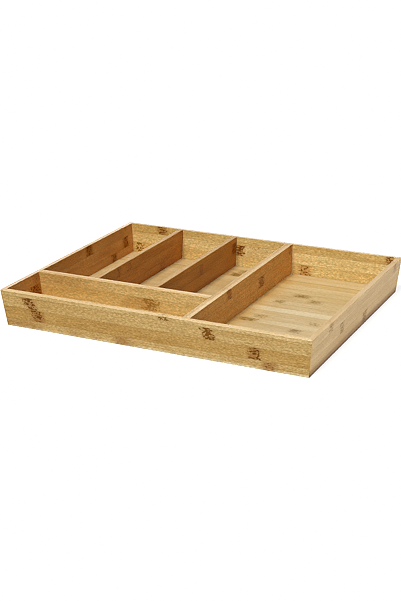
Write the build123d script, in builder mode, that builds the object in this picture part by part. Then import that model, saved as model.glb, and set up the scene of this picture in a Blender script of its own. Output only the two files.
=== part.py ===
from build123d import *
import os
from math import cos, radians, sin, tan

# Overall size of the tray, across the outer top edges of its leaning walls, in millimetres
tray_width = 430.0
tray_depth = 350.0
tray_height = 50.0

# The four outer walls lean outwards, and their top edges are cut square to the board
wall_thickness = 7.0
wall_lean_degrees = 6.0
corner_radius = 2.5
edge_easing = 0.6

# The bottom panel is held in a groove that runs round all four walls
panel_thickness = 4.0
panel_rise = 3.0
panel_groove_depth = 3.5
panel_edge_clearance = 0.3
panel_top_clearance = 0.2

# Dividers stand upright on the panel, level with the inner top edges of the walls
main_divider_thickness = 10.0
short_divider_thickness = 7.0
left_slot_width = 80.0
middle_slot_width = 81.0
right_slot_width = 77.5
front_slot_depth = 76.0

# Each divider end is glued into a housing that stops short of the top edge
housing_depth = 3.0
housing_stop = 5.0
housing_side_clearance = 0.1
housing_end_clearance = 0.1

# How far a cut runs past the face that it opens
cut_overrun = 2.0

# Slope of the walls, and the height and reach that their thickness takes at the rim
lean_slope = tan(radians(wall_lean_degrees))
rim_drop = wall_thickness * sin(radians(wall_lean_degrees))
rim_reach = wall_thickness * cos(radians(wall_lean_degrees))
rim_outer_height = tray_height - rim_drop


def outer_half(overall, height):
    """Distance from the middle of the tray to a wall's outer face, at a height."""
    return overall / 2 - (rim_outer_height - height) * lean_slope


def inner_half(overall, height):
    """Distance from the middle of the tray to a wall's inner face, at a height."""
    return overall / 2 - rim_reach - (tray_height - height) * lean_slope


# Heights of the floor and of the top of the housings
floor_height = panel_rise + panel_thickness
housing_top = tray_height - housing_stop

# The panel reaches into the groove by the groove's depth, less the clearance at its edge
groove_half_width = inner_half(tray_width, floor_height) + panel_groove_depth
groove_half_depth = inner_half(tray_depth, floor_height) + panel_groove_depth
panel_width = 2 * (groove_half_width - panel_edge_clearance)
panel_depth = 2 * (groove_half_depth - panel_edge_clearance)

# Slots are measured from the left wall's inner top edge, and from the front wall's
left_short_x = -inner_half(tray_width, tray_height) + left_slot_width + short_divider_thickness / 2
right_short_x = left_short_x + middle_slot_width + short_divider_thickness
long_left_face = right_short_x + short_divider_thickness / 2 + right_slot_width
long_x = long_left_face + main_divider_thickness / 2
cross_front_face = -inner_half(tray_depth, tray_height) + front_slot_depth
cross_y = cross_front_face + main_divider_thickness / 2
cross_back_face = cross_front_face + main_divider_thickness

# Half widths of the housings that take the two thicknesses of divider
main_housing_half = main_divider_thickness / 2 + housing_side_clearance
short_housing_half = short_divider_thickness / 2 + housing_side_clearance


def leaning_end(overall):
    """Outline of a divider's end that is housed in a leaning wall, from the floor up."""
    return [
        (inner_half(overall, floor_height) + housing_depth, floor_height),
        (inner_half(overall, housing_top) + housing_depth, housing_top),
        (inner_half(overall, housing_top), housing_top),
        (inner_half(overall, tray_height), tray_height),
    ]


def leaning_housing(overall):
    """Outline of the housing in a leaning wall, open at the wall's inner face."""
    depth = housing_depth + housing_end_clearance
    top = housing_top + housing_end_clearance
    return [
        (inner_half(overall, floor_height) - cut_overrun, floor_height),
        (inner_half(overall, floor_height) + depth, floor_height),
        (inner_half(overall, top) + depth, top),
        (inner_half(overall, top) - cut_overrun, top),
    ]


def upright_end(face, towards):
    """Outline of a divider's end that is housed in an upright divider, from the top down."""
    return [
        (face, tray_height),
        (face, housing_top),
        (face + towards * housing_depth, housing_top),
        (face + towards * housing_depth, floor_height),
    ]


def upright_housing(face, towards):
    """Outline of the housing in an upright divider, open at its face and its lower edge."""
    end = face + towards * (housing_depth + housing_end_clearance)
    top = housing_top + housing_end_clearance
    mouth = face - towards * cut_overrun
    foot = floor_height - cut_overrun
    return [(mouth, foot), (end, foot), (end, top), (mouth, top)]


def flipped(outline):
    """The same outline on the other side of the tray's middle, still in order round the board."""
    return [(-place, height) for place, height in reversed(outline)]


# Upright planes at 45 degrees through the tray's corners, each facing away from the wall named first
half_width = tray_width / 2
half_depth = tray_depth / 2
front_right_mitre = Plane(origin=(half_width, -half_depth, 0), z_dir=(1, 1, 0))
front_left_mitre = Plane(origin=(-half_width, -half_depth, 0), z_dir=(-1, 1, 0))
back_right_mitre = Plane(origin=(half_width, half_depth, 0), z_dir=(1, -1, 0))
back_left_mitre = Plane(origin=(-half_width, half_depth, 0), z_dir=(-1, -1, 0))

# The four sides of the tray: the way that each one faces, and the overall size that it bounds
sides = (
    (1, 0, tray_width),
    (-1, 0, tray_width),
    (0, 1, tray_depth),
    (0, -1, tray_depth),
)


def leaning_plane(out_x, out_y, reach, height):
    """Plane of a wall's face, through a line at a reach from the middle and a height."""
    return Plane(origin=(out_x * reach, out_y * reach, height), z_dir=(out_x, out_y, -lean_slope))


def rim_plane(out_x, out_y, reach):
    """Plane of a wall's top edge, falling outwards from the line of the inner top edge."""
    inner_edge = (out_x * reach, out_y * reach, tray_height)
    return Plane(origin=inner_edge, z_dir=(out_x * lean_slope, out_y * lean_slope, 1))


# The hollow of the tray, down to the table
with BuildPart() as hollow:
    Box(tray_width, tray_depth, tray_height + cut_overrun, align=(Align.CENTER, Align.CENTER, Align.MIN))
    for out_x, out_y, overall in sides:
        reach = inner_half(overall, tray_height)
        split(bisect_by=leaning_plane(out_x, out_y, reach, tray_height), keep=Keep.BOTTOM)

# All four walls in one ring, which the mitre planes then part
with BuildPart() as wall_ring:
    Box(tray_width, tray_depth, tray_height, align=(Align.CENTER, Align.CENTER, Align.MIN))
    for out_x, out_y, overall in sides:
        split(bisect_by=leaning_plane(out_x, out_y, overall / 2, rim_outer_height), keep=Keep.BOTTOM)
        split(bisect_by=rim_plane(out_x, out_y, inner_half(overall, tray_height)), keep=Keep.BOTTOM)
    corners = wall_ring.edges().filter_by(lambda edge: edge.bounding_box().size.Z > tray_height / 2)
    fillet(corners, corner_radius)
    add(hollow.part, mode=Mode.SUBTRACT)
    with BuildSketch(Plane.XY.offset(panel_rise)):
        Rectangle(2 * groove_half_width, 2 * groove_half_depth)
    extrude(amount=panel_thickness + panel_top_clearance, mode=Mode.SUBTRACT)


def ease_long_edges(wall, along):
    """Round the two top edges and the bottom edges of a mitred wall."""
    levels = wall.edges().filter_by(along).group_by(Axis.Z)
    fillet(levels[0] + levels[-2] + levels[-1], edge_easing)


# Front wall, housed for the long divider
with BuildPart() as front_wall:
    add(wall_ring.part)
    split(bisect_by=front_right_mitre, keep=Keep.BOTTOM)
    split(bisect_by=front_left_mitre, keep=Keep.BOTTOM)
    ease_long_edges(front_wall, Axis.X)
    with BuildSketch(Plane.YZ.offset(long_x)):
        with BuildLine():
            Polyline(*flipped(leaning_housing(tray_depth)), close=True)
        make_face()
    extrude(amount=main_housing_half, both=True, mode=Mode.SUBTRACT)

# Back wall, housed for the long divider and both short ones
with BuildPart() as back_wall:
    add(wall_ring.part)
    split(bisect_by=back_right_mitre, keep=Keep.BOTTOM)
    split(bisect_by=back_left_mitre, keep=Keep.BOTTOM)
    ease_long_edges(back_wall, Axis.X)
    for place, half in (
        (long_x, main_housing_half),
        (left_short_x, short_housing_half),
        (right_short_x, short_housing_half),
    ):
        with BuildSketch(Plane.YZ.offset(place)):
            with BuildLine():
                Polyline(*leaning_housing(tray_depth), close=True)
            make_face()
        extrude(amount=half, both=True, mode=Mode.SUBTRACT)

# Left wall, housed for the cross divider
with BuildPart() as left_wall:
    add(wall_ring.part)
    split(bisect_by=front_left_mitre, keep=Keep.TOP)
    split(bisect_by=back_left_mitre, keep=Keep.TOP)
    ease_long_edges(left_wall, Axis.Y)
    with BuildSketch(Plane.XZ.offset(-cross_y)):
        with BuildLine():
            Polyline(*flipped(leaning_housing(tray_width)), close=True)
        make_face()
    extrude(amount=main_housing_half, both=True, mode=Mode.SUBTRACT)

# Right wall, which carries no divider
with BuildPart() as right_wall:
    add(wall_ring.part)
    split(bisect_by=front_right_mitre, keep=Keep.TOP)
    split(bisect_by=back_right_mitre, keep=Keep.TOP)
    ease_long_edges(right_wall, Axis.Y)

# Bottom panel, lying on the lower lip of the groove
with BuildPart() as bottom_panel:
    with BuildSketch(Plane.XY.offset(panel_rise)):
        Rectangle(panel_width, panel_depth)
    extrude(amount=panel_thickness)

# Long divider, from the front wall to the back wall, housed on its left face for the cross divider
with BuildPart() as long_divider:
    with BuildSketch(Plane.YZ.offset(long_x)):
        with BuildLine():
            Polyline(*leaning_end(tray_depth), *flipped(leaning_end(tray_depth)), close=True)
        make_face()
    extrude(amount=main_divider_thickness / 2, both=True)
    fillet(long_divider.edges().filter_by(Axis.Y).group_by(Axis.Z)[-1], edge_easing)
    with BuildSketch(Plane.XZ.offset(-cross_y)):
        with BuildLine():
            Polyline(*upright_housing(long_left_face, 1), close=True)
        make_face()
    extrude(amount=main_housing_half, both=True, mode=Mode.SUBTRACT)

# Cross divider, from the left wall to the long divider, housed on its back face for the short ones
with BuildPart() as cross_divider:
    with BuildSketch(Plane.XZ.offset(-cross_y)):
        with BuildLine():
            Polyline(*flipped(leaning_end(tray_width)), *reversed(upright_end(long_left_face, 1)), close=True)
        make_face()
    extrude(amount=main_divider_thickness / 2, both=True)
    fillet(cross_divider.edges().filter_by(Axis.X).group_by(Axis.Z)[-1], edge_easing)
    for place in (left_short_x, right_short_x):
        with BuildSketch(Plane.YZ.offset(place)):
            with BuildLine():
                Polyline(*upright_housing(cross_back_face, -1), close=True)
            make_face()
        extrude(amount=short_housing_half, both=True, mode=Mode.SUBTRACT)

# Two short dividers, from the cross divider to the back wall
short_dividers = []
for name, place in (("short_divider_left", left_short_x), ("short_divider_right", right_short_x)):
    with BuildPart() as short_divider:
        with BuildSketch(Plane.YZ.offset(place)):
            with BuildLine():
                Polyline(*leaning_end(tray_depth), *upright_end(cross_back_face, -1), close=True)
            make_face()
        extrude(amount=short_divider_thickness / 2, both=True)
        fillet(short_divider.edges().filter_by(Axis.Y).group_by(Axis.Z)[-1], edge_easing)
    short_divider.part.label = name
    short_dividers.append(short_divider.part)

front_wall.part.label = "front_wall"
back_wall.part.label = "back_wall"
left_wall.part.label = "left_wall"
right_wall.part.label = "right_wall"
bottom_panel.part.label = "bottom_panel"
long_divider.part.label = "long_divider"
cross_divider.part.label = "cross_divider"

os.makedirs("parts", exist_ok=True)
export_step(front_wall.part, "parts/front_wall.step")
export_step(back_wall.part, "parts/back_wall.step")
export_step(left_wall.part, "parts/left_wall.step")
export_step(right_wall.part, "parts/right_wall.step")
export_step(bottom_panel.part, "parts/bottom_panel.step")
export_step(long_divider.part, "parts/long_divider.step")
export_step(cross_divider.part, "parts/cross_divider.step")
for part in short_dividers:
    export_step(part, "parts/" + part.label + ".step")
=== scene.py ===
from collections import namedtuple
from math import radians

import bmesh
import bpy
from mathutils import Matrix, Vector

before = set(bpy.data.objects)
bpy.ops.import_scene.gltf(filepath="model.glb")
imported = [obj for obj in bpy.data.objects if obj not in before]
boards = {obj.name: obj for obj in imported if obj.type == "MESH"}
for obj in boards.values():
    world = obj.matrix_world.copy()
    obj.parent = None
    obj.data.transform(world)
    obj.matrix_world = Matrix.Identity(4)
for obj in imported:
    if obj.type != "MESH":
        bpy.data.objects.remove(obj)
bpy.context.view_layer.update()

MM = 0.001
WHITE = (1, 1, 1, 1)

# Sizes and places on the wood are in millimetres.
# Every board is glued up from strips, and each strip's fibres come from another stretch of cane
STRIP_WIDTH = 16.0
STRIP_SHIFT = 731.0

# Tints that multiply the wood's colour: an amber strip; a glue joint, also used as painted shade in
# corners and at feet; the painted shade at the right wall's foot; the painted shade beside the long
# divider, warmed as by bounce light from it; and the painted light on the front wall's lowest edge
AMBER = (0.80, 0.68, 0.46, 1)
JOINT_SHADE = (0.42, 0.36, 0.28, 1)
FOOT_SHADE = (0.50, 0.36, 0.04, 1)
WARM_SHADE = (0.85, 0.68, 0.30, 1)
PAINTED_FOOT_LIGHT = (1.22, 1.55, 2.60, 1)

# Tints of a knot's halo and of its specks
DARK_KNOTS = ((0.62, 0.42, 0.24, 1), (0.45, 0.29, 0.035, 1))
BROWN_KNOTS = ((0.62, 0.44, 0.12, 1), (0.47, 0.32, 0.02, 1))
FADED_KNOTS = ((0.69, 0.56, 0.33, 1), (0.69, 0.58, 0.30, 1))
PALE_KNOTS = ((0.69, 0.60, 0.43, 1), (0.69, 0.63, 0.42, 1))
SOFT_KNOTS = (DARK_KNOTS[0], FADED_KNOTS[1])

# Unshaded wood for the left faces of the amber boards, whose own wood holds painted shade
UNSHADED_SIDE_WOOD = (0.74, 0.53, 0.24, 1)

# How much a fibre darkens or lightens the wood: an equal step to the eye in red, green and blue,
# which never takes a tint below the least one
DARK_STEP = -0.24
LIGHT_STEP = 0.21
EVEN_STEP_POWER = -0.45
LEAST_TINT = 0.1

# Grain: the (length, width) of its noise, the levels of noise over which each mark sets in, how
# strongly it shows, and how wiry the fibres and their bundles are
DRIFT_SIZE = (80, 12)
DRIFT_RANGE = (0.35, 0.75)
FIBRE_SIZE = (30, 1.5)
FIBRE_RANGE = (0.42, 0.72)
FIBRE_STRENGTH = 0.55
BUNDLE_SIZE = (3.4, 1.5)
DARK_MARK_RANGE = (0.52, 0.66)
LIGHT_MARK_RANGE = (0.34, 0.48)
DARK_MARK_STRENGTH = 0.80
WIRINESS = 0.6

# Glue joints between the strips, as (dark, clear) distances from the joint, and between two plies
JOINT_FADE = (0.2, 0.9)
JOINT_STRENGTH = 0.18
PLY_JOINT = 0.2
PLY_STRENGTH = 0.65

# How far up a face looks where it starts to be a top edge and where it is one, and the same to
# the left for a left side
TOP_TURN = (0.35, 0.75)
LEFT_TURN = (0.3, 0.6)
# How much of the fibres and of the knots the top edges hide
TOP_HIDES_FIBRES = 0.5
TOP_HIDES_KNOTS = 0.7

# The part of a shade's reach that is fully dark, and the heights over which a foot's painted light
# fades
SHADE_CORE = 0.4
FOOT_BAND = (1.0, 4.5)

# Knots: the size of the noise that makes their ends ragged and how far it moves them, where halo
# and crowding fade, in half lengths from the middle, how far crowding lifts the specks' noise and
# from what crowding they show in full, and the size of that noise and the levels of a speck
KNOT_END_SIZE = (5, 2.2)
KNOT_END_RAGGED = 10.0
HALO_FADE = (0.2, 1.4)
CROWD_FADE = (0.4, 1.25)
CROWD_LIFT = 0.24
CROWD_START = 0.2
SPECK_SIZE = (3.6, 2.1)
SPECK_RANGE = (0.66, 0.72)

# Lacquer: its roughness, what fibres and dark marks add to it, how far fibres rise and dark marks
# sink in its relief, and how deep and how strong that relief is
LACQUER_ROUGHNESS = 0.30
FIBRE_ROUGHNESS = 0.12
MARK_ROUGHNESS = 0.08
FIBRE_RISE = 0.5
MARK_SINK = 0.5
RELIEF_DEPTH = 0.08 * MM
RELIEF_STRENGTH = 0.25

# Key light: the direction that it comes from, its angle in degrees and its strength
KEY_FROM = (-0.05, -0.49, 0.87)
KEY_SPREAD = 20
KEY_STRENGTH = 3.3
# Bright walls of a dim room, as (direction, cosine at which they fade out, strength)
ROOM_DIM = 0.03
ROOM_WALLS = (
    ((-0.43, 0.90, 0.0), 0.88, 1.9),
    ((1.0, 0.0, 0.15), 0.93, 2.0),
)
# Floor, in metres: a matt grey that glows, so that it stays white under a soft shadow
FLOOR_RADIUS = 40
FLOOR_SIDES = 64
FLOOR_GREY = (0.3, 0.3, 0.3, 1)
FLOOR_ROUGHNESS = 0.9
FLOOR_GLOW = 0.84

# Camera: lens and sensor in millimetres, places in metres, roll in degrees
CAMERA_LENS = 73.892
CAMERA_SENSOR = 36.0
CAMERA_PLACE = (0.66994, -1.41598, 0.56685)
CAMERA_AIM = (0.00852, -0.04209, 0.025)
CAMERA_ROLL = -0.295

SHARPENING = 0.30
DISPLAY_GAMMA = 2.2

# Where a strip crosses a joint of the cane: its place along the grain, its strip, how strong its
# halo and specks are, its length, and how far it leans along the grain for each step across it
Knot = namedtuple("Knot", "place strip halo specks length slant", defaults=(0.0,))
# A dark joint, or painted shade in a corner or at a foot: an axis, its place on it, how far it
# reaches to each side, its strength and its tint
Shade = namedtuple("Shade", "axis place reach strength tint")


class Socket:
    """A node's output that can stand in a Python sum: each operation adds its Math node."""

    def __init__(self, finish, output):
        self.finish = finish
        self.output = output

    def __add__(self, other):
        return self.finish.math("ADD", self, other)

    def __sub__(self, other):
        return self.finish.math("SUBTRACT", self, other)

    def __rsub__(self, other):
        return self.finish.math("SUBTRACT", other, self)

    def __mul__(self, other):
        return self.finish.math("MULTIPLY", self, other)

    def __truediv__(self, other):
        return self.finish.math("DIVIDE", self, other)

    def __rtruediv__(self, other):
        return self.finish.math("DIVIDE", other, self)

    def __abs__(self):
        return self.finish.math("ABSOLUTE", self)

    __radd__ = __add__
    __rmul__ = __mul__


class Finish:
    """A node tree under construction, for a material, the room's light or the finished picture."""

    def __init__(self, holder, family="ShaderNode"):
        holder.use_nodes = True
        self.holder = holder
        self.family = family
        self.tree = holder.node_tree
        self.tree.nodes.clear()

    def node(self, kind, settings=None, inputs=None, output=0):
        """Adds a node, sets it up, joins or sets its sockets, and gives one of its outputs."""
        made = self.tree.nodes.new(self.family + kind)
        for key, setting in (settings or {}).items():
            if key == "stops":
                self.set_stops(made.color_ramp, setting)
            else:
                setattr(made, key, setting)
        for key, value in (inputs or {}).items():
            if isinstance(value, Socket):
                self.tree.links.new(value.output, made.inputs[key])
            else:
                made.inputs[key].default_value = value
        return Socket(self, made.outputs[output]) if len(made.outputs) else made

    def set_stops(self, ramp, stops):
        """Gives a colour ramp hard-edged stops, each a (place, grey level) pair."""
        ramp.interpolation = "CONSTANT"
        while len(ramp.elements) < len(stops):
            ramp.elements.new(1.0)
        for element, (place, grey) in zip(ramp.elements, stops):
            element.position = place
            element.color = (grey, grey, grey, 1)

    def math(self, operation, *values):
        return self.node("Math", {"operation": operation}, dict(enumerate(values)))

    def smooth(self, value, start, end):
        """0 where the value is at start or before it, and 1 where it is at end or past it."""
        inputs = {"Value": value, "From Min": start, "From Max": end}
        return self.node("MapRange", {"interpolation_type": "SMOOTHSTEP"}, inputs)

    def blend(self, amount, one, other, how="MIX"):
        """Mixes two colours."""
        settings = {"data_type": "RGBA", "blend_type": how}
        return self.node("Mix", settings, {0: amount, 6: one, 7: other}, output=2)

    def tint(self, colour, amount, shade):
        """Multiplies a colour by a shade, as far as the amount says."""
        return self.blend(amount, colour, shade, "MULTIPLY")

    def noise(self, spot, size, detail, roughness=0.5):
        """Noise at a spot of (along, across, through), its blotches size long and wide."""
        along, across, through = spot
        length, width = size
        steps = {0: along / length, 1: across / width, 2: through / width}
        place = self.node("CombineXYZ", {}, steps)
        inputs = {"Vector": place, "Scale": 1.0, "Detail": detail, "Roughness": roughness}
        return self.node("TexNoise", {}, inputs)

    def facing(self, axis):
        """How far a face looks along an axis, from -1 to 1."""
        normal = self.node("NewGeometry", output="Normal")
        return self.node("SeparateXYZ", {}, {0: normal}, output=axis)


def tray_place(finish):
    """Place on the tray in millimetres, by axis."""
    place = finish.node("TexCoord", output="Object")
    return {
        axis: finish.node("SeparateXYZ", {}, {0: place}, output=axis) * (1 / MM) for axis in "XYZ"
    }


def knot_marks(finish, knots, along, spot, seam, rim):
    """Halo and dark specks of a board's knots, which fade within rim of their strip's edges."""
    across = spot[1]
    ragged = finish.noise(spot, KNOT_END_SIZE, detail=3.0) - 0.5
    halo, crowd = 0.0, 0.0
    for knot in knots:
        aside = across - (seam + (knot.strip + 0.5) * STRIP_WIDTH)
        inside = 1 - finish.smooth(abs(aside), STRIP_WIDTH / 2 - rim, STRIP_WIDTH / 2)
        leaning = along + ragged * KNOT_END_RAGGED + aside * knot.slant
        ahead = abs(leaning - knot.place) / (knot.length / 2)
        halo = (1 - finish.smooth(ahead, *HALO_FADE)) * inside * knot.halo + halo
        crowd = (1 - finish.smooth(ahead, *CROWD_FADE)) * inside * knot.specks + crowd
    speck = finish.noise(spot, SPECK_SIZE, detail=1.0)
    specks = finish.smooth(speck + crowd * CROWD_LIFT, *SPECK_RANGE)
    return halo, specks * finish.smooth(crowd, 0.0, CROWD_START)


def fibre_tint(wood, step):
    """The tint that moves each part of a wood's colour by the same step to the eye."""
    parts = (max(1 + step * level ** EVEN_STEP_POWER, LEAST_TINT) for level in wood[:3])
    return (*parts, 1)


def fade(finish, colour, place, along, shades, mellow, foot):
    """A board's colour with its dark joints, painted shade in corners and at feet, a painted
    warmer shade towards one end, and painted light on its foot.
    """
    # Dark joints, and painted shade in corners and at feet
    for shade in shades:
        away = abs(place[shade.axis] - shade.place)
        near = 1 - finish.smooth(away, shade.reach * SHADE_CORE, shade.reach)
        colour = finish.tint(colour, near * shade.strength, shade.tint)
    # Painted shade, warmer and darker towards one end of the board
    if mellow:
        warm_end, pale_end, strength = mellow
        end_shading = 1 - finish.smooth(along, warm_end, pale_end)
        colour = finish.tint(colour, end_shading * strength, AMBER)
    # Painted light on the lowest few millimetres
    if foot:
        low = 1 - finish.smooth(place["Z"], *FOOT_BAND)
        colour = finish.tint(colour, low * foot, PAINTED_FOOT_LIGHT)
    return colour


def lacquer(finish, colour, fibre, dark_marks, shine):
    """Satin lacquer over the coloured wood, with a fine relief of fibres and marks."""
    rough = fibre * FIBRE_ROUGHNESS + dark_marks * MARK_ROUGHNESS + LACQUER_ROUGHNESS
    height = fibre * FIBRE_RISE + (1 - dark_marks) * MARK_SINK
    inputs = {"Strength": RELIEF_STRENGTH, "Distance": RELIEF_DEPTH, "Height": height}
    relief = finish.node("Bump", {}, inputs)
    inputs = {
        "Base Color": colour,
        "Roughness": rough,
        "Normal": relief,
        "Specular IOR Level": shine,
    }
    finish.node("OutputMaterial", {}, {"Surface": finish.node("BsdfPrincipled", {}, inputs)})


def bamboo(name, grain, across, seam, wood, tones, knots, edge=None, contrast=1.0, clouds=0.45,
           shine=0.5, inks=DARK_KNOTS, knot_rim=0.5, shades=(), mellow=None, foot=0.0, plies=None,
           left_side=None):
    """Finish of one board, glued up from strips.

    grain, across: the axes along the strips and over them
    seam: where the lowest strip starts on the across axis
    wood: the palest colour of the faces, partly the board's own tone and partly painted light and
    shade, set board by board
    tones: from pale (0) to amber (1) for each strip, from the lowest
    knots: the board's knots
    edge: the colour of the top edge, where it shows; paler than the faces: painted light on the
    tops
    contrast: how strongly the fibres show
    clouds: how far the tone drifts along the board
    shine: the lacquer's specular level
    inks: the tints of the knots' halo and specks
    knot_rim: how far inside its strip's edges a knot starts to fade
    shades: dark joints, and painted shade in corners and at feet
    mellow: painted shade, warmer and darker towards one end along the grain axis: warm
    end, pale end, strength
    foot: how far painted light lightens the lowest few millimetres
    plies: where the two layers that the top edge shows meet, through the board's thickness
    left_side: the wood of the faces that look left, without the painted shade that the
    board's wood holds for its faces that look right
    """
    finish = Finish(bpy.data.materials.new(name))
    place = tray_place(finish)
    along, over = place[grain], place[across]
    depth = place[({"X", "Y", "Z"} - {grain, across}).pop()]
    dark_fibre, light_fibre = fibre_tint(wood, DARK_STEP), fibre_tint(wood, LIGHT_STEP)

    # Strips, each with a tone and a stretch of fibre of its own
    strips = (over - seam) / STRIP_WIDTH
    strip = finish.math("FLOOR", strips)
    stops = [(number / len(tones), tone) for number, tone in enumerate(tones)]
    tone = finish.node("ValToRGB", {"stops": stops}, {0: strips / len(tones)})
    in_strip = strips - strip
    from_joint = finish.math("MINIMUM", in_strip, 1 - in_strip) * STRIP_WIDTH
    spot = (along + strip * STRIP_SHIFT, over, depth)

    # Broad drift of tone, long fibres, and the short marks of the bundles between them
    drift = finish.noise(spot, DRIFT_SIZE, detail=1.0)
    fibre = finish.noise(spot, FIBRE_SIZE, detail=3.0, roughness=WIRINESS)
    bundle = finish.noise(spot, BUNDLE_SIZE, detail=2.0, roughness=WIRINESS)
    dark_marks = finish.smooth(bundle, *DARK_MARK_RANGE)
    light_marks = 1 - finish.smooth(bundle, *LIGHT_MARK_RANGE)

    # Plain wood of the strips, and of the top edge, whose paler colour is painted light
    # Where given, faces that look left get unshaded wood, without the painted shade of the board's
    # wood
    if left_side:
        leftward = finish.facing("X") * -1.0
        wood = finish.blend(finish.smooth(leftward, *LEFT_TURN), wood, left_side)
    colour = finish.blend(tone, wood, finish.tint(wood, 1.0, AMBER))
    top = 0.0
    # Painted light: faces that look up get the paler top colour
    if edge:
        top = finish.smooth(finish.facing("Z"), *TOP_TURN)
        colour = finish.blend(top, colour, edge)

    # Grain and joints
    colour = finish.tint(colour, finish.smooth(drift, *DRIFT_RANGE) * clouds, AMBER)
    show = (1 - top * TOP_HIDES_FIBRES) * contrast
    dark_lines = finish.smooth(fibre, *FIBRE_RANGE) * FIBRE_STRENGTH
    colour = finish.tint(colour, dark_lines * show, dark_fibre)
    colour = finish.tint(colour, dark_marks * DARK_MARK_STRENGTH * show, dark_fibre)
    colour = finish.tint(colour, light_marks * show, light_fibre)
    joint = 1 - finish.smooth(from_joint, *JOINT_FADE)
    colour = finish.tint(colour, joint * JOINT_STRENGTH, JOINT_SHADE)

    # Dark joints, painted shade and light, the darker of two plies, and knots
    colour = fade(finish, colour, place, along, shades, mellow, foot)
    if plies is not None:
        ply = (1 - finish.smooth(depth, plies - PLY_JOINT, plies + PLY_JOINT)) * top
        colour = finish.tint(colour, ply * PLY_STRENGTH, AMBER)
    halo, specks = knot_marks(finish, knots, along, spot, seam, knot_rim)
    clear = 1 - top * TOP_HIDES_KNOTS
    colour = finish.tint(colour, halo * clear, inks[0])
    colour = finish.tint(colour, specks * clear, inks[1])

    lacquer(finish, colour, fibre, dark_marks, shine)
    return finish.holder


def dress(node, **look):
    """Gives a board of the tray its own bamboo finish."""
    material = bamboo(node + "_bamboo", **look)
    for slot in boards[node].material_slots:
        slot.material = material


# Each board's wood is partly its own tone and partly painted light and shade, set board by board
dress(
    "front_wall",
    grain="X",
    across="Z",
    seam=-4.0,
    # Wood darkened partly by painted shade
    wood=(0.595, 0.422, 0.180, 1),
    edge=(0.88, 0.655, 0.37, 1),
    tones=(0.45, 0.95, 0.45, 0.0),
    knots=(
        Knot(-171, 2, 0.7, 1.0, 18, 0.6),
        Knot(-160, 1, 0.8, 0.65, 21, 0.3),
        Knot(22, 3, 0.3, 0.8, 16),
        Knot(81, 2, 0.45, 1.0, 19, 0.3),
        Knot(141, 1, 0.75, 0.7, 19),
        Knot(160, 0, 0.75, 0.2, 22),
        Knot(-39, 0, 0.6, 0.0, 26),
        Knot(-108, 0, 0.15, 0.0, 25),
        Knot(-190, 0, 0.45, 0.0, 70),
    ),
    contrast=0.9,
    shine=0.1,
    # Painted shade towards one end
    mellow=(-200, 180, 0.35),
    # Painted light on the wall's lowest edge
    foot=1.0,
)
dress(
    "back_wall",
    grain="X",
    across="Z",
    seam=-10.0,
    wood=(0.86, 0.67, 0.308, 1),
    edge=(0.75, 0.61, 0.40, 1),
    tones=(0.5, 0.70, 0.2, 0.7),
    knots=(
        Knot(-157, 3, 0.8, 0.6, 18, 0.3),
        Knot(-193, 1, 0.1, 0.9, 14),
        Knot(-27, 2, 1.2, 1.0, 14),
        Knot(5, 2, 0.3, 0.1, 50),
        Knot(75, 1, 0.7, 0.5, 22),
        Knot(199, 3, 0.7, 0.5, 14),
        Knot(130, 3, 0.12, 0.0, 90),
    ),
    # Painted shade towards one end
    mellow=(-205, -20, 0.6),
)
dress(
    "left_wall",
    grain="Y",
    across="Z",
    seam=-13.0,
    # Wood that holds painted shade for the faces that look right
    wood=(0.845, 0.44, 0.145, 1),
    edge=(0.87, 0.69, 0.48, 1),
    tones=(0.5, 0.4, 0.4, 0.6),
    knots=(
        Knot(39, 3, 1.1, 0.35, 20),
        Knot(143, 2, 1.05, 0.5, 18),
        Knot(106, 1, 0.9, 0.5, 17),
        Knot(-105, 2, 1.0, 0.55, 26),
        Knot(-98, 3, 0.4, 0.1, 24),
        Knot(118, 3, 0.33, 0.0, 90),
    ),
    contrast=0.65,
    clouds=0.7,
    shine=0.15,
    inks=BROWN_KNOTS,
    left_side=UNSHADED_SIDE_WOOD,
)
dress(
    "right_wall",
    grain="Y",
    across="Z",
    seam=-12.0,
    wood=(0.75, 0.525, 0.235, 1),
    edge=(0.79, 0.575, 0.32, 1),
    # The lowest strip's full amber is partly painted shade at the foot
    tones=(1.0, 0.4, 0.2, 0.1),
    knots=(
        Knot(-66, 2, 0.5, 0.8, 16, 0.3),
        Knot(26, 1, 0.6, 0.9, 20),
        Knot(-110, 3, 0.4, 0.6, 17),
        Knot(145, 3, 0.5, 0.6, 20),
    ),
    contrast=0.32,
    shine=0.1,
    inks=FADED_KNOTS,
    # Painted contact shadow along the foot
    shades=(Shade("Z", 0.0, 13.0, 0.82, FOOT_SHADE), Shade("Z", 0.0, 4.6, 0.68, JOINT_SHADE)),
    # Painted shade towards one end
    mellow=(170, -170, 0.22),
)
dress(
    "long_divider",
    grain="Y",
    across="Z",
    seam=4.0,
    # Wood that holds painted shade for the faces that look right
    wood=(0.98, 0.558, 0.188, 1),
    edge=(0.85, 0.62, 0.33, 1),
    # The lowest strip is paler: painted light against the shade at the foot
    tones=(0.1, 0.5, 0.5),
    knots=(
        Knot(54, 1, 0.8, 0.6, 22),
        Knot(-52, 2, 0.9, 0.3, 16, 0.2),
        Knot(160, 2, 0.5, 0.4, 10),
    ),
    contrast=0.85,
    shine=0.15,
    # Painted shade towards one end
    mellow=(160, -120, 0.5),
    plies=49.5,
    left_side=UNSHADED_SIDE_WOOD,
)
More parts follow.
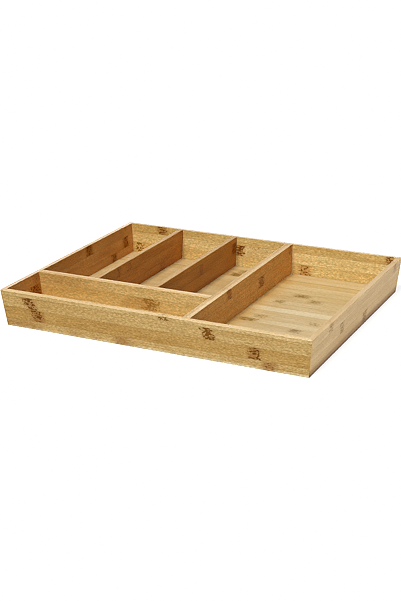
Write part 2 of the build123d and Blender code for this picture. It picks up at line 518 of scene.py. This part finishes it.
dress(
    "cross_divider",
    grain="X",
    across="Z",
    seam=4.0,
    wood=(0.95, 0.72, 0.335, 1),
    edge=(0.935, 0.665, 0.325, 1),
    tones=(0.6, 0.78, 0.5),
    knots=(
        Knot(-38, 1, 0.3, 0.85, 30),
        Knot(-55, 1, 0.3, 0.0, 50),
        Knot(-172, 2, 0.28, 0.0, 100),
    ),
    inks=SOFT_KNOTS,
    # Painted shade towards one end
    mellow=(-200, 40, 0.5),
    plies=-87.0,
)
SHORT_DIVIDER_LOOK = {
    "grain": "Y",
    "across": "Z",
    "edge": (0.62, 0.36, 0.112, 1),
    "contrast": 0.6,
    "clouds": 0.8,
    "shine": 0.3,
    "inks": SOFT_KNOTS,
    "left_side": UNSHADED_SIDE_WOOD,
}
dress(
    "short_divider_left",
    seam=3.0,
    # Wood that holds painted shade for the faces that look right
    wood=(0.725, 0.31, 0.053, 1),
    tones=(0.5, 0.5, 0.5),
    knots=(
        Knot(0, 2, 0.3, 0.3, 18),
        Knot(-28, 2, 0.35, 0.4, 14),
        Knot(100, 0, 0.3, 0.3, 18),
    ),
    **SHORT_DIVIDER_LOOK,
)
dress(
    "short_divider_right",
    seam=-5.0,
    # Wood that holds painted shade for the faces that look right
    wood=(0.70, 0.30, 0.040, 1),
    tones=(0.5, 0.5, 0.5, 0.5),
    knots=(
        Knot(159, 2, 0.9, 0.6, 17),
        Knot(47, 2, 0.4, 0.2, 14),
    ),
    **SHORT_DIVIDER_LOOK,
)
dress(
    "bottom_panel",
    grain="X",
    across="Y",
    seam=-171.0,
    wood=(0.815, 0.67, 0.405, 1),
    tones=(
        0.5, 0.65, 0.4, 0.6, 0.6, 0.8, 0.6, 0.65, 0.45, 0.6, 0.6,
        0.1, 0.65, 0.6, 0.7, 0.8, 0.7, 0.6, 0.95, 0.65, 0.7, 0.7,
    ),
    knots=(
        Knot(105, 15, 0.95, 0.75, 26),
        Knot(130, 14, 0.6, 0.7, 22),
        Knot(85, 13, 0.6, 0.7, 16),
        Knot(72, 8, 1.0, 1.0, 30),
        Knot(145, 7, 0.6, 0.9, 18),
        Knot(160, 9, 0.3, 0.55, 18),
        Knot(84, 9, 0.4, 0.45, 18),
        Knot(-15, 18, 1.0, 1.0, 16),
        Knot(-10, 19, 0.7, 0.9, 14),
    ),
    contrast=0.35,
    inks=PALE_KNOTS,
    knot_rim=4.0,
    shades=(
        Shade("Y", 133.0, 1.6, 0.3, JOINT_SHADE),
        # Painted shade along the back wall's foot
        Shade("Y", 168.0, 40.0, 0.2, JOINT_SHADE),
        Shade("Y", 164.0, 9.0, 0.16, JOINT_SHADE),
        # Painted shade beside the long divider's foot, warmed as by bounce light from it
        Shade("X", 54.5, 22.0, 0.42, WARM_SHADE),
        Shade("X", 54.5, 8.0, 0.2, WARM_SHADE),
    ),
    # Painted shade towards one end
    mellow=(-50, 100, 0.32),
)


def studio_light():
    """A soft key light above the front, in a dim room with bright walls behind and to the right."""
    sun = bpy.data.lights.new("key_light", "SUN")
    sun.energy = KEY_STRENGTH
    sun.angle = radians(KEY_SPREAD)
    lamp = bpy.data.objects.new("key_light", sun)
    lamp.rotation_euler = Vector(KEY_FROM).to_track_quat("Z", "Y").to_euler()
    bpy.context.scene.collection.objects.link(lamp)

    room = Finish(bpy.data.worlds.new("pale_room"))
    direction = room.node("TexCoord", output="Generated")
    level = ROOM_DIM
    for facing, fade_out, strength in ROOM_WALLS:
        towards = {0: direction, 1: Vector(facing).normalized()}
        dot = room.node("VectorMath", {"operation": "DOT_PRODUCT"}, towards, output="Value")
        level = room.smooth(dot, fade_out, 1.0) * strength + level
    light = room.node("Background", {}, {"Color": WHITE, "Strength": level})
    room.node("OutputWorld", {}, {"Surface": light})
    bpy.context.scene.world = room.holder


def studio_floor():
    """A wide white floor that the tray stands on."""
    mesh = bpy.data.meshes.new("studio_floor")
    shape = bmesh.new()
    bmesh.ops.create_circle(shape, cap_ends=True, segments=FLOOR_SIDES, radius=FLOOR_RADIUS)
    shape.to_mesh(mesh)
    shape.free()
    floor = bpy.data.objects.new("studio_floor", mesh)
    bpy.context.scene.collection.objects.link(floor)
    finish = Finish(bpy.data.materials.new("white_floor"))
    inputs = {
        "Base Color": FLOOR_GREY,
        "Roughness": FLOOR_ROUGHNESS,
        "Specular IOR Level": 0.0,
        "Emission Color": WHITE,
        "Emission Strength": FLOOR_GLOW,
    }
    finish.node("OutputMaterial", {}, {"Surface": finish.node("BsdfPrincipled", {}, inputs)})
    mesh.materials.append(finish.holder)


def photo_camera():
    """The photograph's viewpoint: in front of the tray, to its right and above it."""
    camera = bpy.data.cameras.new("camera")
    camera.lens = CAMERA_LENS
    camera.sensor_width = CAMERA_SENSOR
    place, aim = Vector(CAMERA_PLACE), Vector(CAMERA_AIM)
    turn = (aim - place).to_track_quat("-Z", "Y").to_matrix().to_4x4()
    roll = Matrix.Rotation(radians(CAMERA_ROLL), 4, "Z")
    stand = bpy.data.objects.new("camera", camera)
    stand.matrix_world = Matrix.Translation(place) @ turn @ roll
    bpy.context.scene.collection.objects.link(stand)
    bpy.context.scene.camera = stand


def crisp_print():
    """Sharpens the finished picture slightly, in display brightness, as the photograph was."""
    picture = Finish(bpy.context.scene, "CompositorNode")
    drawn = picture.node("RLayers", output="Image")
    encoded = picture.node("Gamma", {}, {"Image": drawn, "Gamma": 1 / DISPLAY_GAMMA})
    capped = picture.node("MixRGB", {"blend_type": "DARKEN"}, {0: 1.0, 1: encoded, 2: WHITE})
    inputs = {"Fac": SHARPENING, "Image": capped}
    crisp = picture.node("Filter", {"filter_type": "SHARPEN_DIAMOND"}, inputs)
    decoded = picture.node("Gamma", {}, {"Image": crisp, "Gamma": DISPLAY_GAMMA})
    picture.node("Composite", {}, {"Image": decoded})


studio_light()
studio_floor()
photo_camera()
bpy.context.scene.view_settings.view_transform = "Standard"
crisp_print()
